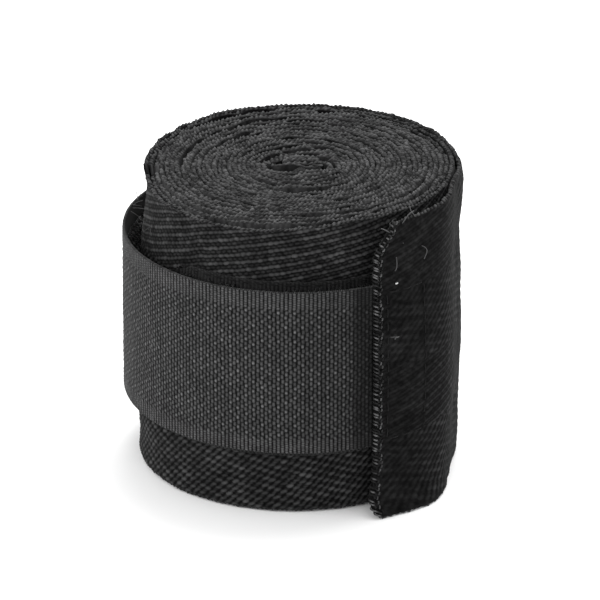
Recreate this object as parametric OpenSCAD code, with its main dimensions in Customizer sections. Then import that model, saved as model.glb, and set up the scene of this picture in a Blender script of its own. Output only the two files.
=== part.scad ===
// Hand wrap: a long woven cotton ribbon wound tight on its edge and closed by a hook tape strap.
// +Z is the roll's axis, z = 0 is the face it stands on, and the strap's front is towards -Y.

/* [Cloth] */
// Width of the cloth, which is the height of the standing roll
cloth_w = 50; // [40:0.5:60]
// Thickness of one layer of cloth
cloth_t = 0.74; // [0.5:0.02:1.2]
// Air between two layers of the wound roll
layer_gap = 0.12; // [0.1:0.01:0.3]
// Radius inside the first half turn, around the folded start
core_r = 5.15; // [5.15:0.05:8]
// Half turns wound before the lifting end
half_turns = 46; // [20:2:60]
// Where the lifting end starts, at the back of the roll
lift_from = 97.5; // [91:0.5:140]
// Clearance under the lifting end
lift_gap = 0.32; // [0.3:0.02:0.6]
// Where the cloth ends
cloth_end_at = -62.2; // [-75:0.1:-55]

/* [Thumb loop] */
// Width of the thumb loop's tape
thumb_w = 7.2; // [6:0.1:7.2]
// Thickness of the thumb loop's tape
thumb_t = 0.55; // [0.4:0.05:0.6]
// Length of the loop pressed flat, about half its way round
thumb_len = 45; // [30:1:46]

/* [Loop tape] */
// Width of the loop tape
loop_w = 30; // [20:1:40]
// Thickness of its woven backing
loop_back_t = 0.3; // [0.2:0.05:0.4]
// Height of the pile
pile_t = 0.7; // [0.4:0.02:0.7]
// Border without pile, where it is sewn
loop_border = 1.2; // [0.8:0.1:3]
// Angle where the loop tape starts, under the cloth end
loop_from = -30; // [-60:1:-20]
// Angle where the loop tape stops
loop_to = -140; // [-180:1:-100]

/* [Hook strap] */
// Width of the strap
strap_w = 28.3; // [20:0.1:38]
// Thickness of the strap's woven back
strap_t = 0.5; // [0.4:0.05:0.6]
// Height of the hook field
hook_t = 0.5; // [0.3:0.05:0.5]
// Plain edge of the strap, without hooks
strap_edge = 2.9; // [1:0.1:5]
// Outer radius that the strap curls to
strap_r = 27.95; // [27.95:0.05:29]
// Centre of that curl, off the axis because the free end stands away from the roll
strap_mid = [-0.5, 0.3];
// Angle where the sewn end starts, under the cloth
strap_from = -42; // [-50:1:-38]
// Angle where the free part leaves the cloth end
strap_free = -63.45; // [-70:0.05:-60]
// Pieces that the free part bends in
strap_pieces = 7; // [7:7]
// Angle that each piece covers
piece_arc = 23.8; // [15:0.1:25]
// Angle left open at each bend
bend_gap = 0.9; // [0.7:0.1:2]

/* [Thread] */
// Width of a sewing thread
thread_w = 0.4; // [0.2:0.05:0.8]
// How far a thread stands up
thread_t = 0.22; // [0.1:0.02:0.4]
// Length of one lockstitch, with its hole
stitch = 3; // [2:0.1:5]
// Pitch of the overlock stitches
overlock_pitch = 1.6; // [1:0.1:3]

/* [Hidden] */
$fa = 3;
$fs = 0.4;
pitch = cloth_t + layer_gap;
// The winding is made of half turns about two centres, so that it has no steps
off = pitch / 4;
last_r = core_r + (half_turns - 1) * pitch / 2;
face_r = last_r + cloth_t;
pile_r = face_r + loop_back_t + pile_t;
back_r = strap_r - strap_t;
hook_r = back_r - hook_t;
lift_r = face_r - pitch / 2 + lift_gap;
low_r = face_r + lift_gap;
cotton = [0.13, 0.13, 0.135];
nylon = [0.26, 0.26, 0.265];
dark = [0.09, 0.09, 0.095];

function at(r, a) = [r * cos(a), r * sin(a)];

// Part of a flat ring from angle a down to angle b, at most 115 degrees
module arc(r_in, r_out, a, b) {
    far = 2.2 * r_out;
    difference() {
        intersection() {
            circle(r = r_out);
            polygon([[0, 0], at(far, a), at(far, (a + b) / 2), at(far, b)]);
        }
        circle(r = r_in);
    }
}

// Half of a flat ring: side 1 is behind the axis, side -1 in front
module half_turn(r_in, r_out, side) {
    difference() {
        intersection() {
            circle(r = r_out);
            translate([-2 * r_out, side > 0 ? 0 : -2 * r_out]) square([4 * r_out, 2 * r_out]);
        }
        circle(r = r_in);
    }
}

// A straight layer along X, centred on y
module layer(x0, x1, y, t) {
    translate([x0, y - t / 2]) square([x1 - x0, t]);
}

// A fold of mean radius r: side 1 bulges towards +X, side -1 towards -X
module fold(x, y, r, t, side) {
    translate([x, y]) rotate(-90 * side) half_turn(r - t / 2, r + t / 2, 1);
}

// Things at the front are built about the centre of the last full front half turn
module front() {
    translate([-off, 0, 0]) children();
}

// The strap and what it is sewn to follow the strap's own curl
module curl() {
    translate([strap_mid.x, strap_mid.y, 0]) children();
}

// The inner end runs once round the core and is folded back and forth inside it
module start_folds() {
    t = cloth_t;
    r = core_r - 1.25;
    x0 = off - 1.25 - t / 2;
    big = (r + 3.6) / 2;
    translate([x0, 0]) arc(r - t / 2, r + t / 2, -90, -180);
    layer(x0, 0.7, -r, t);
    fold(0.7, big - r, big, t, 1);
    layer(-1.6, 0.7, 3.6, t);
    fold(-1.6, 3, 0.6, t, -1);
    layer(-1.6, 1.7, 2.4, t);
    fold(1.7, 1.8, 0.6, t, 1);
    layer(-3.4, 1.7, 1.2, t);
    fold(-3.4, 0.6, 0.6, t, -1);
    layer(-3.4, 3.1, 0, t);
}

module wrap_cloth() {
    color(cotton) linear_extrude(cloth_w) {
        for (k = [0 : half_turns - 1]) {
            r = core_r + k * pitch / 2;
            side = k % 2 == 0 ? 1 : -1;
            translate([side * off, 0]) half_turn(r, r + cloth_t, side);
        }
        translate([off, 0])
            arc(last_r + pitch / 2, last_r + pitch / 2 + cloth_t, 180, lift_from + bend_gap / 2);
        start_folds();
    }
}

// Overlock thread round a cut end that points to +X, with the cloth centred on y = 0
module overlock(depth) {
    inner = cloth_t / 2;
    module wrap(t) {
        difference() {
            translate([-depth, -inner - t]) square([depth + t, 2 * (inner + t)]);
            translate([-depth - 1, -inner]) square([depth + 1, 2 * inner]);
        }
    }
    linear_extrude(cloth_w) wrap(thread_t * 0.5);
    for (z = [overlock_pitch / 2 : overlock_pitch : cloth_w - 0.5])
        translate([0, 0, z - 0.35]) linear_extrude(0.7) wrap(thread_t);
}

module start_overlock() {
    color(dark) translate([3.1, 0, 0]) overlock(1.3);
}

// The loop is pressed flat and stands on end in the core, in front of the cloth's inner end
module thumb_loop() {
    t = thumb_t;
    r = 0.45;
    color(dark) translate([-thumb_w / 2 - 0.35, -1.5, (cloth_w - thumb_len) / 2])
        rotate([90, 0, 90]) linear_extrude(thumb_w) {
            for (y = [-r, r]) translate([y - t / 2, r]) square([t, thumb_len - 2 * r]);
            translate([0, thumb_len - r]) half_turn(r - t / 2, r + t / 2, 1);
            translate([0, r]) half_turn(r - t / 2, r + t / 2, -1);
        }
}

// Bar tack between the loop and the cloth, near the lower edge
module thumb_loop_tack() {
    y1 = -cloth_t / 2;
    y0 = thumb_t / 2 - 1.05;
    color(dark) translate([-1.8, 0, 4]) {
        translate([0, y0, 0]) cube([2.9, (y1 - y0) / 2, 8]);
        for (i = [0 : 7]) translate([0, y0, i + 0.2]) cube([2.9, y1 - y0, 0.6]);
    }
}

module loop_tape() {
    color(dark) front() translate([0, 0, (cloth_w - loop_w) / 2])
        linear_extrude(loop_w) arc(face_r, face_r + loop_back_t, loop_from, loop_to);
}

module loop_pile() {
    border = loop_border / face_r * 180 / PI;
    color(dark) front() translate([0, 0, (cloth_w - loop_w) / 2 + loop_border])
        linear_extrude(loop_w - 2 * loop_border)
            arc(face_r + loop_back_t, pile_r, loop_from - border, loop_to + border);
}

// A closed seam on a curved face: rows at heights z0 and z1, columns at angles a and b
module seam(r, a, b, z0, z1) {
    deg = 180 / PI / r;
    half = thread_w / 2;
    top = r + thread_t;
    n = round((a - b) / deg / stitch);
    step = (a - b) / n;
    m = round((z1 - z0) / stitch);
    rise = (z1 - z0) / m;
    difference() {
        translate([0, 0, z0 - half]) linear_extrude(z1 - z0 + thread_w)
            arc(r, r + thread_t / 2, a + half * deg, b - half * deg);
        translate([0, 0, z0 + half]) linear_extrude(z1 - z0 - thread_w)
            arc(r - 1, r + 1, a - half * deg, b + half * deg);
    }
    for (z = [z0, z1], i = [0 : n - 1])
        translate([0, 0, z - half * 0.8]) linear_extrude(thread_w * 0.8)
            arc(r + thread_t / 4, top, a - (i + 0.15) * step, a - (i + 0.85) * step);
    for (c = [a, b], i = [0 : m - 1])
        translate([0, 0, z0 + (i + 0.15) * rise]) linear_extrude(0.7 * rise)
            arc(r + thread_t / 4, top, c + half * 0.8 * deg, c - half * 0.8 * deg);
}

module loop_tape_stitch() {
    inset = loop_border / 2;
    deg = 180 / PI / face_r;
    color(cotton) front() seam(face_r + loop_back_t, loop_from - inset * deg, loop_to + inset * deg,
        (cloth_w - loop_w) / 2 + inset, (cloth_w + loop_w) / 2 - inset);
}

module cloth_end_1() {
    color(cotton) linear_extrude(cloth_w) translate([off, 0])
        arc(lift_r, lift_r + cloth_t, lift_from - bend_gap / 2, 42 + bend_gap / 2);
}

module cloth_end_2() {
    color(cotton) linear_extrude(cloth_w) {
        translate([off, 0]) arc(lift_r, lift_r + cloth_t, 42 - bend_gap / 2, 0);
        translate([-off, 0]) arc(low_r, low_r + cloth_t, 0, -12 + bend_gap / 2);
    }
}

// The last piece climbs smoothly from the roll's own curve to the outside of the sewn strap
module cloth_end_3() {
    a0 = -12 - bend_gap / 2;
    steps = 34;
    da = (cloth_end_at - a0) / steps;
    function climb(a) = let (u = min(1, (a0 - a) / 25)) u * u * (3 - 2 * u);
    function on(a) = (1 - climb(a)) * ([-off, 0] + at(low_r, a)) + climb(a) * (strap_mid + at(strap_r + 0.005, a));
    color(cotton) linear_extrude(cloth_w)
        polygon(concat([for (i = [0 : steps]) on(a0 + i * da)],
            [for (i = [steps : -1 : 0]) on(a0 + i * da) + at(cloth_t, a0 + i * da)]));
}

// Overlock round the outer cut end; over the strap it has no inner leg
module end_overlock() {
    deg = 180 / PI / strap_r;
    a = cloth_end_at - 0.02;
    inner = strap_r - 0.01;
    outer = strap_r + cloth_t + 0.01;
    low = (cloth_w - strap_w) / 2 - 0.05;
    high = (cloth_w + strap_w) / 2 + 0.15;
    module wrap(t, off_cloth, depth, inside) {
        difference() {
            arc(inside ? inner - t : inner + 0.02, outer + t, a + depth * deg, a - t * deg);
            arc(inside ? inner - off_cloth : inner - 1, outer + off_cloth,
                a + (depth + 1) * deg, a - off_cloth * deg);
        }
    }
    color(dark) curl() {
        linear_extrude(low) wrap(thread_t * 0.5, 0, 1.3, true);
        translate([0, 0, low]) linear_extrude(high - low) wrap(thread_t * 0.5, 0, 1.3, false);
        translate([0, 0, high]) linear_extrude(cloth_w - high) wrap(thread_t * 0.5, 0, 1.3, true);
        for (z = [overlock_pitch / 2 : overlock_pitch : cloth_w - 0.5])
            translate([0, 0, z - 0.35]) linear_extrude(0.7)
                wrap(thread_t, thread_t * 0.2, 1.2, z + 0.35 <= low || z - 0.35 >= high);
    }
}

module box_stitch() {
    color(dark) curl() seam(strap_r + cloth_t + 0.01, -44.5, -58.6, 12.4, 37.6);
}

module strap_part(a, b) {
    color(nylon) curl() translate([0, 0, (cloth_w - strap_w) / 2])
        linear_extrude(strap_w) arc(back_r, strap_r, a, b);
}

// Hooks stand in columns on a thin ground
module hook_part(a, b) {
    step = (a - b) / 8;
    color(dark) curl() translate([0, 0, (cloth_w - strap_w) / 2 + strap_edge])
        linear_extrude(strap_w - 2 * strap_edge) {
            arc(back_r - 0.15, back_r, a, b);
            for (i = [0 : 7]) arc(hook_r, back_r - 0.1, a - (i + 0.3) * step, a - (i + 0.7) * step);
        }
}

function piece_a(i) = strap_free - (i - 1) * piece_arc - bend_gap / 2;
function piece_b(i) = strap_free - i * piece_arc + (i < strap_pieces ? bend_gap / 2 : 0);

module strap_sewn() {
    strap_part(strap_from, strap_free + bend_gap / 2);
}

module hooks_sewn() {
    hook_part(strap_from - 0.5, strap_free + bend_gap / 2);
}

module strap_piece(i) {
    strap_part(piece_a(i), piece_b(i));
}

module hook_piece(i) {
    hook_part(piece_a(i), piece_b(i));
}

wrap_cloth();
start_overlock();
thumb_loop();
thumb_loop_tack();
loop_tape();
loop_pile();
loop_tape_stitch();
cloth_end_1();
cloth_end_2();
cloth_end_3();
end_overlock();
box_stitch();
strap_sewn();
hooks_sewn();
strap_piece(1);  // strap_1
hook_piece(1);  // hooks_1
strap_piece(2);  // strap_2
hook_piece(2);  // hooks_2
strap_piece(3);  // strap_3
hook_piece(3);  // hooks_3
strap_piece(4);  // strap_4
hook_piece(4);  // hooks_4
strap_piece(5);  // strap_5
hook_piece(5);  // hooks_5
strap_piece(6);  // strap_6
hook_piece(6);  // hooks_6
strap_piece(7);  // strap_7
hook_piece(7);  // hooks_7
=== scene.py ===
"""Looks of the hand wrap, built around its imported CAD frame.

Lengths are in millimetres until a mesh is made. An angle (az) is in degrees round the roll, from +X towards +Y.
"""
import math

import bpy
import numpy as np
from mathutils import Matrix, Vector


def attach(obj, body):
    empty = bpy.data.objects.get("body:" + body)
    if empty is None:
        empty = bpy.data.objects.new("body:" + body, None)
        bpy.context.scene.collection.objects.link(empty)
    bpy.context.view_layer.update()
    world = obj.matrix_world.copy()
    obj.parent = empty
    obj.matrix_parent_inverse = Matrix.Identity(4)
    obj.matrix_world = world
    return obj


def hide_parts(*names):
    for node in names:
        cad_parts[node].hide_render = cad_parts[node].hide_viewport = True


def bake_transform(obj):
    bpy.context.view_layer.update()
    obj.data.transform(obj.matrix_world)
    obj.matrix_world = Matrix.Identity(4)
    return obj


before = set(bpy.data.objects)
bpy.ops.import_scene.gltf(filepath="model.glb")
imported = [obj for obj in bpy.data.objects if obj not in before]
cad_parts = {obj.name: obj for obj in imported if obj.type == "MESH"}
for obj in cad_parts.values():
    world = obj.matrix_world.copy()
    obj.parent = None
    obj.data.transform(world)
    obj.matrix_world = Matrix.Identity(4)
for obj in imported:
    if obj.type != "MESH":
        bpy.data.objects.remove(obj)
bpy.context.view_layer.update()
MM = 0.001

# ---------------------------------------------------------------- sizes, as in the CAD source
CLOTH_W, CLOTH_T, LAYER_GAP, CORE_R, HALF_TURNS = 50.0, 0.74, 0.12, 5.15, 46
PITCH = CLOTH_T + LAYER_GAP
OFF = PITCH / 4
FACE_R = CORE_R + (HALF_TURNS - 1) * PITCH / 2 + CLOTH_T
LIFT_FROM, LIFT_R, LOW_R = 97.5, FACE_R - PITCH / 2 + 0.32, FACE_R + 0.32
CLOTH_END = -62.2
LOOP_W, LOOP_T, PILE_T, LOOP_FROM, LOOP_TO, LOOP_BORDER = 30.0, 0.3, 0.7, -30.0, -140.0, 1.2
STRAP_W, STRAP_T, STRAP_EDGE, STRAP_R = 28.3, 0.5, 2.9, 27.95
STRAP_MID = np.array([-0.5, 0.3])
STRAP_FROM, STRAP_FREE, PIECE_ARC, PIECES = -42.0, -63.45, 23.8, 7
STRAP_Z = (CLOTH_W - STRAP_W) / 2
BOX_AZ, BOX_Z = (-44.5, -58.6), (12.4, 37.6)

# ---------------------------------------------------------------- sizes of the looks
OUTER_FROM, OUTER_TO = 45 * 180 - 97.0, 47 * 180 - LIFT_FROM  # the outer turn, in degrees along the winding
TURN_R, END_R, HOOK_R, PILE_R = 25.0, 26.5, 27.2, 25.5  # radii at which arcs are measured as lengths
INNER_STEP, OUTER_STEP, STRAP_STEP, LOOP_STEP = 0.175, 0.165, 0.11, 0.22  # between points along a band
CLOTH_TOP, CLOTH_FOOT = 49.7, 0.12  # the cloth's two edges, before their small waves
CLOTH_EDGE = dict(e=0.36, k=8, rope=0.7, bead=0.78, rough=0.45)  # how the outer cloth's edges look
THUMB_W, THUMB_T = 7.0, 0.55
HOOK_COL, HOOK_ROW, HOOK_H = 0.98, 0.86, 0.52
MID_Z = CLOTH_W / 2 * MM


# ---------------------------------------------------------------- noise and small helpers
TABLES = {}


def fade(t):
    return t * t * (3 - 2 * t)


def step(a, b, x):
    """Rises smoothly from 0 at a to 1 at b."""
    return fade(np.clip((x - a) / (b - a), 0, 1))


def table(seed):
    if seed not in TABLES:
        TABLES[seed] = np.random.default_rng(seed).random((128, 128)) * 2 - 1
    return TABLES[seed]


def noise(x, y, seed):
    """Smooth noise from -1 to 1."""
    x, y = np.broadcast_arrays(np.asarray(x, float), np.asarray(y, float))
    xi, yi = np.floor(x).astype(int), np.floor(y).astype(int)
    u, v, t = fade(x - xi), fade(y - yi), table(seed)
    x0, x1, y0, y1 = xi % 128, (xi + 1) % 128, yi % 128, (yi + 1) % 128
    return (t[x0, y0] * (1 - u) + t[x1, y0] * u) * (1 - v) + (t[x0, y1] * (1 - u) + t[x1, y1] * u) * v


def speck(i, j, seed):
    """One random value from -1 to 1 for each pair of whole numbers."""
    return table(seed)[np.asarray(i).astype(int) % 128, np.asarray(j).astype(int) % 128]


def polar(centre, r, az):
    """Points (x, y) at radius r round a centre."""
    a = np.radians(az)
    return np.stack([centre[0] + r * np.cos(a), centre[1] + r * np.sin(a)], -1)


# the roll's left and right outline: heights, and how far the side stands out there
LEFT_SIDE = ([0, 4, 8, 11, 25, 37, 41, 46.3, 48.3, 50],
             [0.7, 0.42, 0.6, 0.3, 0, -0.15, -0.65, -1.15, -0.75, -0.35])
RIGHT_SIDE = ([0, 5, 12, 18, 25, 31, 35, 39, 43, 47, 50],
              [-0.6, -0.5, -0.45, -0.1, 0, -0.15, -0.45, -0.6, -0.3, -0.1, -0.45])


def lean(p):
    """The roll isn't a true cylinder: it has a waist under its rim, and it spreads a little at the left foot."""
    x, y, z = p[..., 0], p[..., 1], p[..., 2]
    r = np.hypot(x, y)
    c = x / np.maximum(r, 1e-6)
    left, right = np.interp(z, *LEFT_SIDE), np.interp(z, *RIGHT_SIDE)
    w = 0.5 - 0.5 * c
    d = (left * w + right * (1 - w)) * step(6, 25, r)
    k = 1 + d / np.maximum(r, 1)
    return np.stack([x * k, y * k, z], -1)


# ---------------------------------------------------------------- meshes
def make_mesh(name, verts, faces, mat, weave, rings=()):
    """verts (n, 3) in mm; faces is a list of index arrays, each (k, corners); weave is one height for each point,
    which the material paints as shade where low and as light where high; rings are runs of points whose edges are
    sharp."""
    me = bpy.data.meshes.new(name)
    loops = np.concatenate([f.ravel() for f in faces]).astype(np.int32)
    sizes = np.concatenate([np.full(len(f), f.shape[1]) for f in faces])
    starts = np.concatenate([[0], np.cumsum(sizes)[:-1]]).astype(np.int32)
    me.vertices.add(len(verts))
    me.vertices.foreach_set("co", (np.asarray(verts) * MM).astype(np.float32).ravel())
    me.loops.add(len(loops))
    me.loops.foreach_set("vertex_index", loops)
    me.polygons.add(len(starts))
    me.polygons.foreach_set("loop_start", starts)
    me.materials.append(mat)
    me.update(calc_edges=True)
    if rings:
        ends = np.zeros(len(me.edges) * 2, np.int32)
        me.edges.foreach_get("vertices", ends)
        ends = ends.reshape(-1, 2)
        sharp = np.zeros(len(ends), bool)
        for lo, hi in rings:
            sharp |= (ends >= lo).all(1) & (ends < hi).all(1)
        me.attributes.new("sharp_edge", "BOOLEAN", "EDGE").data.foreach_set("value", sharp)
    heights = np.asarray(weave, np.float32).ravel()
    me.attributes.new("weave", "FLOAT", "POINT").data.foreach_set("value", heights)
    me.shade_smooth()
    ob = bpy.data.objects.new(name, me)
    bpy.context.scene.collection.objects.link(ob)
    return ob


def grid_faces(n, m):
    """Quads of an n by m grid, closed round its second index, facing out for a loop up the outside."""
    i, j = np.meshgrid(np.arange(n - 1), np.arange(m), indexing="ij")
    a, b = i * m + j, i * m + (j + 1) % m
    return np.stack([a, b, b + m, a + m], -1).reshape(-1, 4).astype(np.int64)


def tubes(lines, radius, sides):
    """Closed round tubes along many lines of equal length (n, k, 3)."""
    n, k = lines.shape[:2]
    t = np.gradient(lines, axis=1)
    t /= np.maximum(np.linalg.norm(t, axis=-1, keepdims=True), 1e-9)
    ref = np.zeros_like(t)
    ref[..., 2] = 1
    steep = np.abs(t[..., 2]).mean(1) > 0.85
    ref[steep] = (1, 0, 0)
    u = np.cross(t, ref)
    u /= np.maximum(np.linalg.norm(u, axis=-1, keepdims=True), 1e-9)
    v = np.cross(t, u)
    ang = np.arange(sides) * 2 * math.pi / sides
    cos, sin = np.cos(ang)[None, None, :, None], np.sin(ang)[None, None, :, None]
    verts = (lines[:, :, None] + radius * (u[:, :, None] * cos + v[:, :, None] * sin)).reshape(-1, 3)
    base = (np.arange(n) * k * sides)[:, None]
    one = grid_faces(k, sides)[:, ::-1]
    quads = (one[None] + base[:, :, None]).reshape(-1, 4)
    head = (np.arange(sides)[None] + base).astype(np.int64)
    tail = (np.arange(sides)[::-1][None] + base + (k - 1) * sides).astype(np.int64)
    return verts, [quads, head, tail]


# ---------------------------------------------------------------- weaves: height from 0 to 1
BAND, COL, ROW = 12.5, 0.96, 1.3  # the herringbone's band, and the pitch of its beads along and across
RIB_SLOPE, BEAD_TILT = 0.31, math.radians(19)
SELVEDGE = 0.9


def herringbone(s, z, up=0):
    """Four bands of slanted ribs made of long beads, with a plain selvedge.
    s runs to the right as seen from outside, and up slides the ribs down."""
    s = s + 0.25 * noise(s / 9, z / 7, 1) + 0.06 * noise(s / 0.8, z / 0.8, 8)
    z = z + 0.22 * noise(s / 8, z / 9, 2) + 0.07 * noise(s / 1.0, z / 1.0, 6)
    band = np.clip(np.floor((CLOTH_W - z) / BAND), 0, 3)
    sign = 1 - 2 * (band % 2)
    h = np.zeros_like(s)
    cos, sin = math.cos(BEAD_TILT), math.sin(BEAD_TILT)
    for dj in (-1, 0, 1):
        for low in (0, 1):  # the ribs' own beads, and the smaller yarns that show between the ribs
            j = np.round(s / COL - low * 0.5) + dj
            mid = (j + 0.5 * low) * COL
            w = z + up - sign * RIB_SLOPE * mid - low * ROW / 2
            row = np.round(w / ROW)
            ds, dz = s - mid, w - row * ROW
            u, v = ds * cos + dz * sin, dz * cos - ds * sin
            r = speck(j, row + 37 * band + 11 * low, 3)
            if low:
                long, wide, high = 0.5, 0.22, 0.46 + 0.16 * r
            else:
                long, wide, high = 0.68, 0.30 + 0.05 * r, 0.80 + 0.24 * r
            h = np.maximum(h, np.sqrt(np.maximum(1 - (u / long) ** 2 - (v / wide) ** 2, 0)) * high)
    edge = step(SELVEDGE, 0.4, np.minimum(z, CLOTH_W - z))
    yarn = 0.5 + 0.25 * np.cos(2 * math.pi * (s - 0.4 * z) / 0.8)
    h = h * (1 - edge) + yarn * edge
    patches, fuzz = 0.94 + 0.12 * noise(s / 4, z / 4, 5), 0.12 * noise(s / 0.33, z / 0.26, 7)
    return np.maximum(h * patches + fuzz + 0.03, 0)


WEB_RIB, WEB_BEAD, WEB_PLAIN_BEAD = 0.65, 0.81, 0.4  # pitch of the ribs, and of the beads on them


def webbing(s, z, lo, hi, dots=True):
    """Woven tape from lo to hi: upright beaded ribs. With dots it is the hook tape's back, which has
    bright floats on every second rib away from its edges, is painted darker towards the cloth end as shade of the
    flap, and is pressed flatter and darker over its last few millimetres."""
    s = s + 0.05 * noise(s / 5, z / 6, 11)
    j = np.round(s / WEB_RIB)
    plain = np.minimum(z - lo, hi - z) < STRAP_EDGE if dots else np.ones_like(z, bool)
    pitch = np.where(plain, WEB_PLAIN_BEAD, WEB_BEAD)
    q = z / pitch + 0.5 * (j % 2) + 0.08 * noise(s / 2, z / 2, 15)
    row = np.round(q)
    dz = (q - row) * pitch
    ds = s - j * WEB_RIB - np.where(plain, 0.0, 0.045) * (1 - 2 * (row % 2)) - 0.03 * speck(j, row, 16)
    rib = np.sqrt(np.maximum(1 - (ds / 0.265) ** 2, 0))
    bead = np.sqrt(np.maximum(1 - (dz / (0.47 * pitch)) ** 2, 0))
    h = rib * (0.14 + 0.5 * bead) * (1 + 0.18 * speck(j, row, 12)) + plain * rib * 0.12
    on = (j % 2 == 0) & ((row + j / 2) % 2 == 0) & ~plain
    d = 1 - (ds / 0.25) ** 2 - (dz / (0.27 + 0.04 * speck(j, row, 13))) ** 2
    h = np.maximum(h, on * np.sqrt(np.maximum(d, 0)) * (1.0 + 0.2 * speck(j, row, 14)))
    h = h + 0.05 * noise(s / 0.2, z / 0.2, 17)
    az = np.degrees(s / STRAP_R)
    # painted shade: towards the flap, which shades it, the tape is darker and its relief a little lower; its last
    # few millimetres before the flap are flatter and darker still
    pressed = step(-74, -69, az) * step(-55, -62, az) if dots else 0
    painted_shade = 0.18 * step(-98, -70, az) if dots else 0
    return np.maximum(h * (1 - 0.45 * pressed - painted_shade), 0)


def ribbon(name, P, N, S, t, zb, zt, mat, relief=None, amp=0.17, m=2, mi=2, k=6, e=0.33, bead=0.92,
           inner=None, bulge=None, warp=lean, seed=21, rope=0.45, rough=0.0, rows=None):
    """A band of cloth or tape standing on edge.

    P (n, 2) is its inner face's line, N its outward normals, S its own length coordinate, t its thickness, and
    zb and zt its lower and upper edge. Its section goes up the outside, over the top edge, down the inside and
    back under the bottom edge. relief and inner are the weaves of the outer and inner face, amp their height,
    m (or rows, as shares of the height) and mi the points up each face, and k the points over an edge.
    Each edge is e high, with a lump every bead along it, rope its depth and rough its unevenness."""
    n = len(P)
    zb, zt = np.broadcast_to(zb, n).astype(float), np.broadcast_to(zt, n).astype(float)
    t = np.broadcast_to(t, n).astype(float)
    th = np.linspace(0, math.pi, k + 2)[1:-1]
    S2 = S[:, None]
    f = (np.linspace(0, 1, m) if rows is None else rows)[None]
    m = f.shape[1]
    z_out = (zb + e)[:, None] + (zt - zb - 2 * e)[:, None] * f
    h_out = relief(S2 + 0 * z_out, z_out) if relief else 0.28 + 0.22 * noise(S2 / 0.5, z_out / 9, seed + 3)
    d_out = t[:, None] + (amp * (h_out - 0.55) if relief else 0 * h_out)
    q = S2 / bead + 0.3 * np.cos(th)[None] + 0.15 * noise(S2 / 1.7, 0.3, seed + 1)
    lump = 0.5 + 0.5 * np.cos(2 * math.pi * q)
    lump = lump * (0.72 + 0.28 * speck(np.round(q), 1, seed))
    lump = lump + rough * noise(S2 / 0.37, th[None] * 1.1, seed + 2)
    up = np.sin(th)[None] * (1 - rope + rope * lump)
    half, across = t[:, None] / 2, np.cos(th)[None]
    d_top = half + half * across * (0.84 + 0.2 * lump) + 0.25 * rough * speck(np.round(q), 3, seed)
    z_top = (zt - e)[:, None] + e * up * 1.15
    fi = np.linspace(1, 0, mi)[None]
    z_in = (zb + e)[:, None] + (zt - zb - 2 * e)[:, None] * fi
    h_in = inner(-S2 + 0 * z_in, z_in) if inner else np.full((n, mi), 0.12)
    d_in = -(amp * (h_in - 0.55)) if inner else np.zeros((n, mi))
    d_bot = half - half * across * (0.84 + 0.2 * lump)
    z_bot = np.maximum((zb + e)[:, None] - e * up * 1.15, 0.0)
    D = np.concatenate([d_out, d_top, d_in, d_bot], 1)
    Z = np.concatenate([z_out, z_top, z_in, z_bot], 1)
    # painted light and shade: each rounded edge is darker at its sides and between its lumps and lighter on their
    # tops; where the band has a woven face and rough edges, the edges are lighter still, partly for their fuzzy
    # cut yarn and partly as painted light from above
    edge = 0.05 + 0.95 * np.clip(lump, 0, 1.2) * np.sin(th)[None] ** 0.6
    if relief is not None and rough > 0:
        edge = edge * 1.4
    W = np.concatenate([h_out, edge, h_in, edge], 1)
    M = D.shape[1]
    if bulge is not None:
        D = D + bulge(S2 + 0 * Z, Z)
    V = np.concatenate([P[:, None] + N[:, None] * D[..., None], Z[..., None]], -1)
    if warp:
        V = warp(V)
    caps = [np.arange(M)[::-1][None], ((n - 1) * M + np.arange(M))[None]]
    return make_mesh(name, V.reshape(-1, 3), [grid_faces(n, M), *caps], mat, W, [(0, M), ((n - 1) * M, n * M)])


def normals_of(P):
    """Outward normals of a line that runs clockwise."""
    t = np.gradient(P, axis=0)
    t /= np.linalg.norm(t, axis=1, keepdims=True)
    return np.stack([-t[:, 1], t[:, 0]], -1)


# where turns have parted a little: the turn outside the gap, its two angles, and how wide it is
GAPS = ((17, 100, 178, 0.42), (18, -74, -34, 0.26), (12, 20, 70, 0.1), (9, -160, -110, 0.08))


def spiral(phi, depth=0.0):
    """A point of the winding; phi is degrees clockwise from -X, from the first half turn outward."""
    k = np.minimum(np.floor(phi / 180), HALF_TURNS)
    side = np.where(k % 2 == 0, 1, -1)
    r = CORE_R + k * PITCH / 2 + depth
    turn = np.floor(phi / 360)
    az = 180 - phi % 360  # 180 to -180
    for n_gap, a0, a1, push in GAPS:
        window = step(a0 - 22, a0 + 12, az) * step(a1 + 22, a1 - 12, az)
        d = turn - n_gap
        away = np.where(d >= 0, np.exp(-d / 1.6), -np.exp((d + 1) / 1.6))
        r = r + push * window * away
    a = np.radians(180 - phi)
    return np.stack([side * OFF + r * np.cos(a), r * np.sin(a)], -1)


def start_line():
    """The folded inner end, from its cut edge out to where the winding begins: the middle of the cloth."""
    x0, r, big = OFF - 1.25 - CLOTH_T / 2, CORE_R - 1.25, (CORE_R - 1.25 + 3.6) / 2

    def arc(cx, cy, rad, a, b):
        return polar((cx, cy), rad, np.linspace(a, b, 24))

    parts = [np.array([[3.1, 0.0], [-3.4, 0.0]]), arc(-3.4, 0.6, 0.6, -90, -270), np.array([[1.7, 1.2]]),
             arc(1.7, 1.8, 0.6, -90, 90), np.array([[-1.6, 2.4]]), arc(-1.6, 3.0, 0.6, -90, -270),
             arc(0.7, big - r, big, 90, -90), arc(x0, 0, r, -90, -180)]
    return np.concatenate(parts)


def resample(P, ds):
    """The line P with a point about every ds, and each point's length along it."""
    L = np.concatenate([[0], np.cumsum(np.linalg.norm(np.diff(P, axis=0), axis=1))])
    at = np.linspace(0, L[-1], max(2, int(round(L[-1] / ds)) + 1))
    return np.stack([np.interp(at, L, P[:, i]) for i in (0, 1)], -1), at


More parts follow.
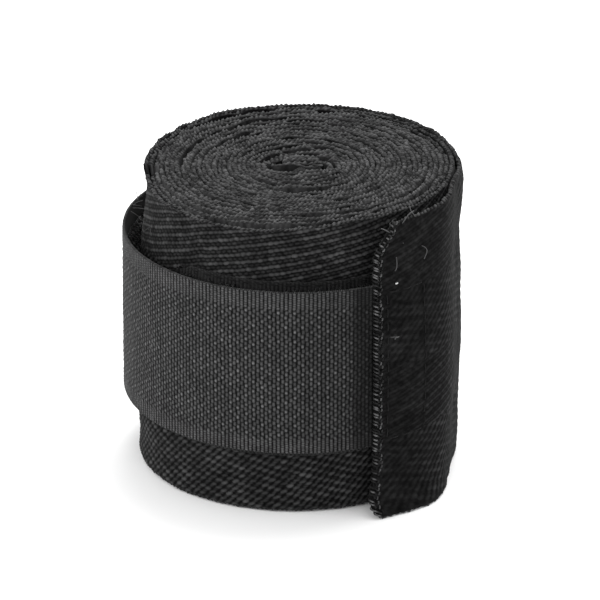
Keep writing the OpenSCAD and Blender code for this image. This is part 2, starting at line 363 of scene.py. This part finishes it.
# ---------------------------------------------------------------- materials
def material(name, low, high, rough, spec, sheen, grain=0.25, mottle=0.25, power=1.4):
    """A cloth or nylon: dark grey (low) between the yarns and lighter (high) on them, as painted shade in the
    valleys and painted light on the tops; mottled, with the fibres of the yarn as a fine bump."""
    m = bpy.data.materials.new(name)
    m.use_nodes = True
    nt = m.node_tree
    nt.nodes.clear()
    link = nt.links.new

    def node(kind, inputs=(), **settings):
        n = nt.nodes.new(kind)
        for key, v in settings.items():
            setattr(n, key, v)
        for key, v in inputs:
            n.inputs[key].default_value = v
        return n

    out = node("ShaderNodeOutputMaterial")
    bsdf = node("ShaderNodeBsdfPrincipled", (("Roughness", rough), ("Specular IOR Level", spec),
                                             ("Sheen Weight", sheen), ("Sheen Roughness", 0.4)))
    link(bsdf.outputs[0], out.inputs[0])
    coord = node("ShaderNodeTexCoord")
    weave = node("ShaderNodeAttribute", attribute_name="weave")
    # painted shade and light: low weave heights, between the yarns, come out darker and high ones lighter
    curve = node("ShaderNodeMath", ((1, power),), operation="POWER")
    link(weave.outputs["Fac"], curve.inputs[0])
    mix = node("ShaderNodeMix", (("A", (*grey(low), 1)), ("B", (*grey(high), 1))), data_type="RGBA")
    link(curve.outputs[0], mix.inputs["Factor"])
    spots = node("ShaderNodeTexNoise", (("Scale", 260), ("Detail", 5), ("Roughness", 0.7)))
    link(coord.outputs["Object"], spots.inputs["Vector"])
    span = node("ShaderNodeMapRange", (("From Min", 0.3), ("From Max", 0.7),
                                       ("To Min", 1 - mottle), ("To Max", 1 + mottle)))
    link(spots.outputs["Fac"], span.inputs["Value"])
    tint = node("ShaderNodeVectorMath", operation="SCALE")
    link(mix.outputs["Result"], tint.inputs[0])
    link(span.outputs[0], tint.inputs["Scale"])
    link(tint.outputs[0], bsdf.inputs["Base Color"])
    fibre = node("ShaderNodeTexNoise", (("Scale", 5200), ("Detail", 3)))
    link(coord.outputs["Object"], fibre.inputs["Vector"])
    bump = node("ShaderNodeBump", (("Strength", grain), ("Distance", 0.00012)))
    link(fibre.outputs["Fac"], bump.inputs["Height"])
    link(bump.outputs[0], bsdf.inputs["Normal"])
    return m


def grey(v):
    return (v, v, v * 1.01)


COTTON = material("cotton", 0.003, 0.057, sheen=0.03, rough=0.95, spec=0.03, mottle=0.4)
# a lighter copy of the cotton for the inner turns, whose cut edges show on the top: partly their fuzzier yarn
# ends, partly painted light from above
COTTON_LIT_EDGE = material("cotton_lit_edge", 0.009, 0.085, sheen=0.05, rough=0.95, spec=0.03, power=1.1, mottle=0.45)
THREAD = material("thread", 0.006, 0.11, sheen=0.04, rough=0.8, spec=0.1, grain=0.15, power=2.0)
TAPE = material("strap_nylon", 0.0015, 0.112, sheen=0.02, rough=0.7, spec=0.06, grain=0.1, mottle=0.2, power=1.5)
LOOP = material("loop_nylon", 0.005, 0.04, sheen=0.05, rough=0.7, spec=0.08)
PILE = material("pile_nylon", 0.005, 0.035, sheen=0.06, rough=0.8, spec=0.08)
HOOK = material("hook_nylon", 0.012, 0.03, sheen=0.0, rough=0.35, spec=0.45, grain=0.05, mottle=0.1)
LINT = material("lint", 0.45, 0.7, sheen=0.1, rough=0.9, spec=0.15)


# ---------------------------------------------------------------- the roll: inner turns
TOP_ROWS = np.concatenate([[0, 0.5, 0.88], np.linspace(0.9, 1, 24)])  # fine only where the weave shows


def inner_turns():
    """The winding from the folded core to the start of the outer turn, in five pieces."""
    phi = np.linspace(0, OUTER_FROM, 60000)
    line = np.concatenate([start_line(), spiral(phi, CLOTH_T / 2)])
    P, L = resample(line, INNER_STEP)
    N = normals_of(P)
    r = np.hypot(P[:, 0], P[:, 1])
    core = step(11, 4.5, r)
    wander = core * 0.13 * noise(L / 2.3, 0, 31) * step(0, 3, L) + 0.05 * noise(L / 5, 1, 32)
    P = P + N * wander[:, None]
    P = P * np.stack([1 + 0.10 * core, 1 - 0.30 * core], -1)
    N = normals_of(P)
    t = 0.77 + 0.07 * noise(L / 4, 2, 33) + 0.25 * core * np.abs(N[:, 1]) * step(4.2, 5.2, r)
    zt = 49.5 + 0.28 * noise(L / 14, 3, 34) + 0.24 * noise(L / 2.2, 4, 35)
    zt = zt - core * (0.2 + 0.45 * noise(L / 2.2, 5, 36))
    az = np.degrees(np.arctan2(P[:, 1], P[:, 0]))
    zt = np.minimum(zt - shoulder(az) * np.exp(-((24.9 - r) / 2.5) ** 2), CLOTH_W)
    zb = CLOTH_FOOT + 0.12 * noise(L / 12, 6, 37)
    last = len(L) - int(2 * math.pi * 24 / INNER_STEP)  # the last turn's weave shows above the slipped outer one
    cuts = [*np.linspace(0, last, 5).astype(int), len(L) - 1]
    made = []
    for i, (a, b) in enumerate(zip(cuts[:-1], np.array(cuts[1:]) + 1)):
        mat, weave = (COTTON, dict(relief=herringbone, rows=TOP_ROWS)) if i == 4 else (COTTON_LIT_EDGE, dict(m=3))
        line = P[a:b] - N[a:b] * t[a:b, None] / 2
        made.append(ribbon(f"cloth_turns_{i + 1}", line, N[a:b], -L[a:b], t[a:b], zb[a:b], zt[a:b], mat,
                           mi=3, k=8, e=0.4, rope=0.75, bead=0.78, rough=0.55, seed=21 + i, **weave))
    return made


def fold_az(phi):
    """The angle, from -180 to 180, of a point of the winding."""
    return -phi % 360 - 180


def shoulder(az):
    """How far the outermost turn has slipped down at an angle."""
    return 1.9 * step(-60, -125, az) + 0.35 * step(150, 178, az)


def outer_weave(s, z):
    """The outer turn's weave, which follows the slipped cloth and flattens out towards the front."""
    az = fold_az(-np.degrees(s / TURN_R))
    ahead = np.radians(np.clip(az, -130, -50) + 130) * TURN_R
    return herringbone(s, z, (1.6 * step(-95, -165, az) + 0.13 * ahead) * step(30, 38, z) * (az < 0))


def outer_turn():
    """The outermost turn, up to where the lifting end begins, in five pieces."""
    total = math.radians(OUTER_TO - OUTER_FROM) * 25.2
    made = []
    edges = np.linspace(OUTER_FROM, OUTER_TO, 6)
    for i in range(5):
        phi = np.linspace(edges[i], edges[i + 1], int(total / 5 / OUTER_STEP))
        P = spiral(phi)
        a = np.radians(180 - phi)
        N = np.stack([np.cos(a), np.sin(a)], -1)
        S = -np.radians(phi) * TURN_R
        calm = 1 - np.exp(-((OUTER_TO - phi) / 12) ** 2)  # meets the lifting end without a step
        zt = CLOTH_TOP + calm * (0.2 * noise(S / 13, 3, 38) + 0.15 * noise(S / 2.2, 4, 39))
        zt = zt - shoulder(fold_az(phi))
        zb = CLOTH_FOOT + calm * 0.08 * noise(S / 9, 6, 40)

        def waves(s, z):
            return calm[:, None] * (0.12 * noise(s / 11, z / 8, 41) + 0.05 * noise(s / 3.5, z / 3, 42))

        made.append(ribbon(f"cloth_face_{i + 1}", P, N, S, CLOTH_T, zb, np.minimum(zt, CLOTH_W), COTTON,
                           relief=outer_weave, m=290, mi=8, bulge=waves, **CLOTH_EDGE))
    return made


# ---------------------------------------------------------------- the cloth end
END_CUTS = (LIFT_FROM, 42.0, -12.0, CLOTH_END)  # where the lifting end's three bodies join
END_OVERLAP = 0.4  # how far the lifting end starts inside the outer turn
END_DROP = 0.194  # brings its start down to the outer turn
RUN_ON = -math.radians(OUTER_TO) * TURN_R - math.radians(LIFT_FROM) * END_R  # carries on the outer turn's weave


def end_line(az):
    """Inner face of the lifting end at an angle, in the row frame."""
    back = polar((OFF, 0), LIFT_R - END_DROP * np.exp(-((az - LIFT_FROM) / 9) ** 2), az)
    low = polar((-OFF, 0), LOW_R, az)
    u = np.clip((-12.45 - az) / 25, 0, 1)[:, None]
    climb = fade(u)
    flap = (1 - climb) * low + climb * polar(STRAP_MID, STRAP_R + 0.005, az)
    return np.where((az >= 0)[:, None], back, flap)


def end_bulge(s, z):
    """Soft waves of the free cloth, the puckers that its sewing draws up, and its corners that turn out."""
    az = np.degrees(s / END_R)
    d = np.radians(az - CLOTH_END) * STRAP_R
    at_end = step(-30, -50, az)
    sewn = np.exp(-((az + 51.5) / 8) ** 2) * step(9, 14, z) * step(41, 36, z)
    pucker = np.sin(2 * math.pi * (z / 3.4 + 0.25 * noise(s / 4, z / 6, 51))) * (0.16 * sewn + 0.07 * at_end)
    waves = 0.22 * noise(s / 10, z / 9, 52) + 0.1 * noise(s / 4, z / 4, 53)
    away = 1 - np.exp(-((az - 97) / 12) ** 2)
    corner = 0.8 * np.exp(-(d / 3.5) ** 2) * step(46, 50, z)
    flare = 3.2 * np.clip((7.5 - z) / 7.5, 0, 1) ** 2 * step(-27, -48, az)
    shift = pucker + waves * away + corner + flare
    return np.where(az < -25, np.maximum(shift, 0), shift)


def end_shape(p):
    """Draws the cut edge back at its two corners, then leans with the roll."""
    mid = p[..., :2] - STRAP_MID
    r = np.hypot(mid[..., 0], mid[..., 1])
    a = np.arctan2(mid[..., 1], mid[..., 0])
    z = p[..., 2]
    d = (a - math.radians(CLOTH_END)) * STRAP_R
    top, foot = 2.4 * step(43.5, 48.2, z) + 0.9 * step(49.0, 50, z), -1.2 * step(8, 1, z) + 0.8 * step(1.6, 0, z)
    back = top + foot + 0.12 * noise(z / 1.3, 0.5, 57) - 0.9
    a = a + back * np.exp(-np.maximum(d, 0) / 4) * (np.abs(d) < 40) / STRAP_R
    return lean(np.stack([STRAP_MID[0] + r * np.cos(a), STRAP_MID[1] + r * np.sin(a), z], -1))


def brushed(s, z):
    """The weave near the cut end, worn soft by washing, and drawn in along the box stitching; its right-hand part
    is painted darker, as shade.
    """
    h = herringbone(s, z)
    s = s - RUN_ON
    az = np.degrees(s / END_R)
    worn = step(-22, -46, az - 0.25 * (z - 40) * (z < 40))
    felt = 0.10 + 0.12 * noise(s / 0.5, z / 0.42, 58) + 0.08 * noise(s / 1.6, z / 1.1, 59)
    seams = sum(np.exp(-((az - seam) / 0.9) ** 2) for seam in BOX_AZ) * step(11, 13, z) * step(39, 37, z)
    # painted shade: the end is darker round the roll's right side, and darker still on the flap towards the
    # front, where less light falls
    painted_shade = 1 - 0.14 * step(60, 15, az) - 0.12 * step(5, -25, az)
    return np.maximum((h * (1 - 0.68 * worn) + felt * worn) * (1 - 0.35 * seams) * painted_shade, 0)


def cloth_end():
    """The lifting end, in three pieces cut at END_CUTS."""
    made = []
    for i, (a0, a1) in enumerate(zip(END_CUTS[:-1], END_CUTS[1:])):
        n = int(math.radians(a0 - a1) * END_R / OUTER_STEP)
        az = np.linspace(a0 + (END_OVERLAP if i == 0 else 0), a1, n)
        P = end_line(az)
        N = normals_of(end_line(np.linspace(a0 + 0.5, a1 - 0.5, n)))
        S = np.radians(az) * END_R + RUN_ON
        calm = 1 - np.exp(-((az - LIFT_FROM) / 12) ** 2)
        zt = CLOTH_TOP + calm * (0.2 * noise(S / 9, 1, 54) + 0.1 * noise(S / 2.6, 2, 55))
        zb = CLOTH_FOOT + calm * 0.1 * noise(S / 8, 3, 56)
        made.append(ribbon(f"cloth_end_face_{i + 1}", P, N, S, CLOTH_T, zb, np.minimum(zt, CLOTH_W), COTTON,
                           relief=brushed, inner=herringbone, m=290, mi=120,
                           bulge=lambda s, z: end_bulge(s - RUN_ON, z), warp=end_shape if i == 2 else lean,
                           **CLOTH_EDGE))
    return made


# ---------------------------------------------------------------- the strap
def strap_bulge(s, z):
    return 0.07 * noise(s / 9, z / 12, 61) + 0.03 * noise(s / 3, z / 2.5, 62)


def hook_field(name, a0, a1):
    """Rows of bent monofilament on the strap's inner face, from one angle to another."""
    lo, hi = STRAP_Z, STRAP_Z + STRAP_W
    rows = np.arange(math.radians(a1) * HOOK_R + 0.5, math.radians(a0) * HOOK_R, HOOK_COL)
    zs = np.arange(lo + STRAP_EDGE + 0.4, hi - STRAP_EDGE - 0.2, HOOK_ROW)
    g, q = np.meshgrid(rows, zs, indexing="ij")
    g = g + 0.43 * (np.round((q - lo) / HOOK_ROW) % 2) + 0.08 * speck(np.round(g * 3), np.round(q * 3), 63)
    g, q = g.ravel(), q.ravel() + 0.07 * speck(np.round(g * 5), np.round(q * 5), 64).ravel()
    turn = speck(np.round(g * 7), np.round(q * 7), 65) * 0.5
    f = np.linspace(0, 1, 7)
    up = np.where(f < 0.55, f / 0.55, 1 - 0.55 * np.clip((f - 0.55) / 0.45, 0, 1) ** 1.6) * HOOK_H
    side = np.clip((f - 0.4) / 0.6, 0, 1) ** 0.9 * 0.34
    r = (STRAP_R - STRAP_T + 0.03) - up[None]
    base = polar(STRAP_MID, 1.0, np.degrees(g / HOOK_R)) - STRAP_MID
    along = np.stack([-base[:, 1], base[:, 0]], -1)
    sway = (side[None] * np.sin(turn)[:, None])[..., None]
    xy = STRAP_MID + base[:, None] * r[..., None] + along[:, None] * sway
    z = q[:, None] + side[None] * np.cos(turn)[:, None] * np.where(np.arange(len(q)) % 2, 1, -1)[:, None]
    verts, faces = tubes(np.concatenate([xy, z[..., None]], -1), 0.085, 4)
    # painted shade: each hook is darker at its root in the tape and lighter towards its tip
    return make_mesh(name, verts, faces, HOOK, np.tile(np.repeat(np.linspace(0.2, 1, 7), 4), len(q)))


def strap_pieces():
    """The strap's woven back and its hooks, in pieces cut halfway between the angles STRAP_FREE - i * PIECE_ARC.
    """
    straps, hooks = [], []
    halves = [STRAP_FREE - (i + 0.5) * PIECE_ARC for i in range(PIECES - 1)]
    cuts = [STRAP_FROM, *halves, STRAP_FREE - PIECES * PIECE_ARC]
    lo, hi = STRAP_Z, STRAP_Z + STRAP_W
    for i, (a0, a1) in enumerate(zip(cuts[:-1], cuts[1:])):
        az = np.linspace(a0, a1, int(math.radians(a0 - a1) * STRAP_R / STRAP_STEP))
        P = polar(STRAP_MID, STRAP_R - STRAP_T, az)
        a = np.radians(az)
        N = np.stack([np.cos(a), np.sin(a)], -1)
        S = a * STRAP_R
        foot = lo + 0.5 + 0.08 * noise(S / 7, 0, 66)
        straps.append(ribbon(f"strap_back_{i}", P, N, S, STRAP_T, foot, hi, TAPE,
                             relief=lambda s, z: webbing(s, z, lo, hi), amp=0.13, m=330, mi=6, k=5, e=0.2,
                             bead=0.34, warp=None, bulge=strap_bulge, rope=0.25))
        hooks.append(hook_field(f"strap_hooks_{i}", a0 - (0.5 if i == 0 else 0), a1))
    return straps, hooks


# ---------------------------------------------------------------- loop tape with its pile
def loop_tape():
    """The tape's woven back, and its pile of loose loops of yarn."""
    z0, z1 = (CLOTH_W - LOOP_W) / 2, (CLOTH_W + LOOP_W) / 2 - 0.25
    az = np.linspace(LOOP_FROM, LOOP_TO, int(math.radians(LOOP_FROM - LOOP_TO) * PILE_R / LOOP_STEP))
    P, a = polar((-OFF, 0), FACE_R - 0.05, az), np.radians(az)
    N = np.stack([np.cos(a), np.sin(a)], -1)
    back = ribbon("loop_tape_back", P, N, a * PILE_R, LOOP_T + 0.05, z0, z1 - 1.4 * step(-131, -140, az), LOOP,
                  relief=lambda s, z: webbing(s, z, z0, z1, False), amp=0.1, m=130, mi=4, k=4, e=0.12,
                  bead=0.4, rope=0.2)
    b = math.degrees(LOOP_BORDER / FACE_R)
    rng = np.random.default_rng(71)
    n = 3600
    u = rng.uniform(math.radians(LOOP_TO + b), math.radians(LOOP_FROM - b), n)
    v = rng.uniform(z0 + LOOP_BORDER, z1 - LOOP_BORDER, n)
    turn, wide, high = rng.uniform(0, math.pi, n), rng.uniform(0.22, 0.42, n), rng.uniform(0.42, PILE_T + 0.02, n)
    f = np.linspace(0, math.pi, 7)
    along = -np.cos(f)[None] * wide[:, None]
    r = FACE_R + LOOP_T + np.sin(f)[None] * high[:, None] - 0.05
    ang = u[:, None] + along * np.cos(turn)[:, None] / 25.7
    z = v[:, None] + along * np.sin(turn)[:, None]
    lines = np.stack([-OFF + r * np.cos(ang), r * np.sin(ang), z], -1)
    verts, faces = tubes(lean(lines), 0.075, 4)
    # painted shade: each loop is darker at its two roots and lighter over its top
    return back, make_mesh("loop_pile_loops", verts, faces, PILE, np.tile(np.repeat(np.sin(f), 4), n))


# ---------------------------------------------------------------- sewing
def stitches(centre, r, line, share=0.72, pitch=2.4, warp=lean, bulge=None):
    """Lockstitches along a line of (arc length, height) corners on a round face: threads, level with the face,
    that dip into it at both ends."""
    segs = []
    for (s0, z0), (s1, z1) in zip(line[:-1], line[1:]):
        length = math.hypot(s1 - s0, z1 - z0)
        n = max(1, round(length / pitch))
        for i in range(n):
            f0, f1 = (i + (1 - share) / 2) / n, (i + (1 + share) / 2) / n
            segs.append((s0 + (s1 - s0) * f0, z0 + (z1 - z0) * f0, s0 + (s1 - s0) * f1, z0 + (z1 - z0) * f1))
    g = np.array(segs)
    f = np.linspace(0, 1, 9)[None]
    s = g[:, :1] + (g[:, 2:3] - g[:, :1]) * f
    z = g[:, 1:2] + (g[:, 3:4] - g[:, 1:2]) * f
    rr = r - 0.28 + 0.28 * np.sin(math.pi * f) ** 0.5 + (bulge(s, z) if bulge else 0 * s)
    return warp(np.stack([centre[0] + rr * np.cos(s / r), centre[1] + rr * np.sin(s / r), z], -1))


def thread_piece(name, lines, radius, weave=None):
    """Threads along lines (n, k, 3), lighter in the middle of each unless weave says how light."""
    sides, (n, k) = 6, lines.shape[:2]
    verts, faces = tubes(lines, radius, sides)
    # painted light and shade: by default each stitch is lighter in its middle, where it stands up, and darker
    # where its ends dip into the cloth
    if weave is None:
        weave = 0.3 + 0.4 * np.sin(np.linspace(0, math.pi, k))
    return make_mesh(name, verts, faces, THREAD, np.repeat(np.broadcast_to(weave, (n, k)).ravel(), sides))


def on_arc(r, a, z):
    """Points at radius r and angle a (radians) round the strap's centre."""
    return np.stack([STRAP_MID[0] + r * np.cos(a), STRAP_MID[1] + r * np.sin(a), z], -1)


def end_serging():
    """Overlock thread round the flap's cut edge: a leg on the face, a turn over the edge and a leg behind,
    with the needle thread's short stitches along the inner side."""
    face, end = STRAP_R + CLOTH_T, math.radians(CLOTH_END)
    f = np.linspace(0, 1, 19)
    at = [0, 0.08, 0.3, 0.42, 0.5, 0.58, 0.7, 1]
    height = [face - 0.12, face + 0.14, face + 0.08, face + 0.1,
              STRAP_R + 0.37, STRAP_R - 0.08, STRAP_R - 0.1, STRAP_R + 0.1]
    lines = []
    for i, z in enumerate(np.arange(0.6, 49.6, 0.66)):
        deep = 0.45 + 0.22 * speck(i, 1, 81)
        d = np.interp(f, at, [deep, deep - 0.04, 0.2, -0.12, -0.24, -0.12, 0.3, deep])
        r = np.interp(f, at, height)
        rise = np.interp(f, [0, 0.42, 1], [-0.3 + 0.15 * speck(i, 4, 81), 0.28, 0.6])
        zz = z + rise + 0.2 * speck(i, 2, 82)
        over_strap = (zz > STRAP_Z - 0.3) & (zz < STRAP_Z + STRAP_W + 0.3)
        r = np.where(over_strap, np.maximum(r, STRAP_R + 0.18), r)
        a = end + d / STRAP_R
        lines.append(on_arc(r + end_bulge(a * END_R, zz), a, np.clip(zz, 0.15, 49.95)))
    knots = np.interp(f, [0, 0.06, 0.16, 0.28, 0.36, 0.42, 0.5, 0.6, 1],
                      [0.3, 0.45, 0.2, 0.6, 1.3, 1.0, 0.35, 0.25, 0.2])
    knots = knots * (0.7 + 0.6 * speck(np.arange(len(lines))[:, None], np.round(f * 3)[None], 84))
    for i, z in enumerate(np.arange(0.9, 49.4, 0.62)):
        d, zz = 0.72 + 0.16 * speck(i, 5, 85) + 0.1 * f, z + 0.36 * f
        a = end + d / STRAP_R
        lines.append(on_arc(face + 0.13 * np.sin(math.pi * f) - 0.04 + end_bulge(a * END_R, zz), a, zz))
        knots = np.append(knots, [np.full(19, 0.45 + 0.5 * speck(i, 6, 85))], 0)
    return thread_piece("end_serging", end_shape(np.array(lines)), 0.13, weave=knots)


def start_serging():
    """Overlock thread round the cloth's inner cut end, folded into the core."""
    f = np.linspace(0, 1, 15)
    half = CLOTH_T / 2 + 0.1
    lines = []
    for i, z in enumerate(np.arange(0.8, 49.2, 1.0)):
        x = np.interp(f, [0, 0.35, 0.5, 0.65, 1], [1.8, 3.0, 3.28, 3.0, 1.8])
        y = np.interp(f, [0, 0.1, 0.4, 0.5, 0.6, 0.9, 1],
                      [half - 0.2, half, half - 0.05, 0, 0.05 - half, -half, 0.2 - half])
        zz = z + 0.5 * f + 0.12 * speck(i, 3, 83)
        lines.append(np.stack([x * 1.1, y * 0.78, zz], -1))
    return thread_piece("start_serging", np.array(lines), 0.14)


def thumb_loop():
    """The narrow tape loop that goes over the thumb, pressed flat on end in the core."""
    low, high, r, y0 = 2.9, 49.1, 0.62, -1.5
    turn = np.linspace(0, math.pi, 16)
    up = np.linspace(low + r, high - r, 130)
    one, other = np.stack([y0 - r + 0 * up, up], -1), np.stack([y0 + r + 0 * up, up[::-1]], -1)
    bend = np.stack([y0 - r * np.cos(turn), high - r + r * np.sin(turn)], -1)
    P, L = resample(np.concatenate([one, bend, other]), 0.2)
    N = normals_of(P)
    P = P + N * (0.28 * noise(L / 4, 0, 91) * step(34, 44, P[:, 1]))[:, None]

    def upright(v):
        """Turns the band from its own plane to stand in the core, with its end crumpled."""
        x = v[..., 2] - THUMB_W / 2 - 0.35
        sway = 0.5 * noise(v[..., 1] / 5, x / 5, 92) * step(36, 46, v[..., 1])
        end = step(44, 49, v[..., 1])
        dip = 0.7 * noise(x / 1.6, 0.5, 93) * end
        return np.stack([x, v[..., 0] + sway, v[..., 1] + dip - 0.3 * (x / 3.5) ** 2 * end], -1)

    return ribbon("thumb_loop_tape", P - N * 0.27, N, L, THUMB_T, 0.0, THUMB_W, LOOP,
                  relief=lambda s, z: webbing(s, z, 0, THUMB_W, False), amp=0.12, m=48, mi=16, k=5, e=0.2,
                  bead=0.4, warp=upright)


def tack():
    """Bar tack that holds the thumb loop to the cloth."""
    f = np.linspace(0, 1, 9)
    lines = []
    for i in range(16):
        x0, x1 = (-1.8, 1.1) if i % 2 else (1.1, -1.8)
        y = -0.42 - 0.12 * np.sin(math.pi * f)
        lines.append(np.stack([x0 + (x1 - x0) * f, y, 4.2 + 0.5 * (i + f)], -1))
    return thread_piece("thumb_loop_bar_tack", np.array(lines), 0.14)


# ---------------------------------------------------------------- loose fibres
def fibres(name, roots, radius, mat, seed, reach=3.0, curl=1.2):
    """Thin loose ends; each root is (x, y, z) and the way that it sets off."""
    rng = np.random.default_rng(seed)
    f = np.linspace(0, 1, 16)[:, None]
    lines = []
    for at, way in roots:
        way = np.array(way, float) / np.linalg.norm(way)
        side, drop = rng.normal(size=3), rng.normal(size=3)
        size = reach * rng.uniform(0.5, 1)
        bend = side * 0.25 * curl * np.sin(f * rng.uniform(2.5, 5)) + drop * 0.2 * curl * f ** 2
        lines.append(np.array(at) + way * size * f + bend)
    verts, faces = tubes(np.array(lines), radius, 4)
    return make_mesh(name, verts, faces, mat, np.full(len(verts), 0.8))


def on_flap(az, z, out=0.0):
    """A point on the cloth end's outer face."""
    r = STRAP_R + CLOTH_T + out + end_bulge(np.radians(az) * END_R, z)
    return end_shape(np.append(polar(STRAP_MID, r, az), z))


# ---------------------------------------------------------------- build
def place(piece, body, slot, *nodes):
    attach(piece, body)
    finish_of(piece, slot, *nodes)


def hinge_blend(piece, body_a, body_b, bend, slot, *nodes):
    """Bakes the piece's placement into its mesh and hides the CAD nodes that it stands for; body_a, body_b and
    bend are not used.
    """
    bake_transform(piece)
    finish_of(piece, slot, *nodes)


def finish_of(piece, slot, *nodes):
    if nodes:
        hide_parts(*nodes)


turns = inner_turns() + outer_turn()
for i, piece in enumerate(turns):
    place(piece, "roll", "cotton", *(["wrap_cloth"] if i == 0 else []))

ends = cloth_end()
bodies = ["roll", "end_1", "end_2", "end_3"]
for i, (piece, az) in enumerate(zip(ends, END_CUTS)):
    bend = end_line(np.array([az, az - 15.0]))
    hinge_blend(piece, bodies[i], bodies[i + 1], bend, "cotton", f"cloth_end_{i + 1}")

straps, hooks = strap_pieces()
for i, (strap, field) in enumerate(zip(straps, hooks)):
    hinge = STRAP_FREE - i * PIECE_ARC
    bend = polar(STRAP_MID, STRAP_R, np.array([hinge + (PIECE_ARC / 2 if i else 0), hinge - PIECE_ARC / 2]))
    before = f"strap_{i}" if i else "end_3"
    for piece, kind, slot in ((strap, "strap", "strap_nylon"), (field, "hooks", "hook_nylon")):
        sewn = [] if i else [f"{kind}_sewn"]  # the first piece is also the sewn end, which doesn't bend
        hinge_blend(piece, before, f"strap_{i + 1}", bend, slot, *sewn, f"{kind}_{i + 1}")

back, pile = loop_tape()
place(back, "roll", "loop_nylon", "loop_tape")
place(pile, "roll", "pile_nylon", "loop_pile")

r_box = STRAP_R + CLOTH_T
box_line = [(math.radians(BOX_AZ[i]) * r_box, BOX_Z[j]) for i, j in ((0, 0), (1, 0), (1, 1), (0, 1), (0, 0))]
box_lines = stitches(STRAP_MID, r_box, box_line, warp=end_shape,
                     bulge=lambda s, z: end_bulge(s / r_box * END_R, z))
place(thread_piece("box_stitches", box_lines, 0.13, weave=0.12), "end_3", "thread", "box_stitch")
place(end_serging(), "end_3", "thread", "end_overlock")

r_tape, inset = FACE_R + LOOP_T, math.degrees(0.6 / FACE_R)
tape_az = (LOOP_FROM - inset, LOOP_TO + inset)
tape_z = ((CLOTH_W - LOOP_W) / 2 + 0.6, (CLOTH_W + LOOP_W) / 2 - 0.8)
tape_line = [(math.radians(tape_az[i]) * r_tape, tape_z[j]) for i, j in ((0, 0), (1, 0), (1, 1), (0, 1), (0, 0))]
tape_lines = stitches((-OFF, 0), r_tape, tape_line)
place(thread_piece("loop_tape_stitches", tape_lines, 0.12, weave=0.1), "roll", "thread", "loop_tape_stitch")
place(start_serging(), "roll", "thread", "start_overlock")
place(thumb_loop(), "roll", "thumb_tape", "thumb_loop")
place(tack(), "roll", "thread", "thumb_loop_tack")

# (angle, height, rise) of the fibres between the slipped outer turn and the one inside it
GAP_FIBRES = ((-178, 42.5, 0.5), (-174, 41.0, 1.0), (-170, 43.5, 0.2), (-167, 41.8, 0.8),
              (-163, 42.2, 0.4), (176, 43.0, 0.6), (-160, 41.2, 0.9), (-172, 44.6, -0.6))
# (angle, height, the way it sets off) of the thread ends on the flap
FLAP_FIBRES = ((-56.5, 49.0, (0.6, -0.3, 0.8)), (-54, 45.5, (-0.4, -0.2, -0.9)), (-50, 49.4, (-0.3, -0.5, 0.6)),
               (-58, 30.0, (0.5, -0.5, 0.3)), (-46, 44.0, (0.4, -0.4, -0.8)), (-60, 47.6, (-0.6, -0.4, 0.5)))
gap = [((*polar((0, 0), 25.2, az), z), (-1, -0.5, rise)) for az, z, rise in GAP_FIBRES]
on_end = [(on_flap(az, z), way) for az, z, way in FLAP_FIBRES]
fleck = [(on_flap(-55.9, 38.8, 0.05), (1, 0.6, 0.15))]
place(fibres("gap_fibres", gap, 0.05, THREAD, 101), "roll", "cotton")
place(fibres("flap_fibres", on_end, 0.08, THREAD, 102, reach=4.0), "end_3", "thread")
place(fibres("lint_fleck", fleck, 0.13, LINT, 103, reach=0.8, curl=0.2), "end_3", "cotton")

# ---------------------------------------------------------------- floor, light and camera
bpy.ops.mesh.primitive_plane_add(size=6, location=(0, 0, -0.00002))
floor = bpy.context.object
floor.name = "floor"
paper = bpy.data.materials.new("floor")
paper.use_nodes = True
for key, v in (("Base Color", (0.9, 0.9, 0.9, 1)), ("Roughness", 0.9), ("Specular IOR Level", 0.1)):
    paper.node_tree.nodes["Principled BSDF"].inputs[key].default_value = v
floor.data.materials.append(paper)

world = bpy.data.worlds.new("studio")
bpy.context.scene.world = world
world.use_nodes = True
sky = world.node_tree.nodes["Background"]
sky.inputs["Color"].default_value = (1, 1, 1, 1)
sky.inputs["Strength"].default_value = 1.15
bpy.context.scene.view_settings.view_transform = "Standard"


def softbox(name, at, power):
    """A round soft light that points at the roll's middle."""
    light = bpy.data.lights.new(name, "AREA")
    light.shape, light.size, light.energy = "DISK", 0.5, power
    ob = bpy.data.objects.new(name, light)
    bpy.context.scene.collection.objects.link(ob)
    ob.location = at
    ob.rotation_euler = (Vector((0, 0, MID_Z)) - Vector(at)).to_track_quat("-Z", "Y").to_euler()


softbox("top", (0.14, 0.28, 0.7), 4.6)
softbox("left", (-0.7, -0.1, 0.35), 2.8)

cam_data = bpy.data.cameras.new("camera")
cam = bpy.data.objects.new("camera", cam_data)
bpy.context.scene.collection.objects.link(cam)
bpy.context.scene.camera = cam
DISTANCE, ELEVATION = 1.0, math.radians(23.9)
look = Vector((0.00004, 0, 0.0257))
cam.location = look + Vector((0, -math.cos(ELEVATION), math.sin(ELEVATION))) * DISTANCE
cam.rotation_euler = (math.pi / 2 - ELEVATION, 0, 0)
cam_data.lens, cam_data.sensor_width = 372.9, 36
cam_data.clip_start, cam_data.clip_end = 0.05, 20
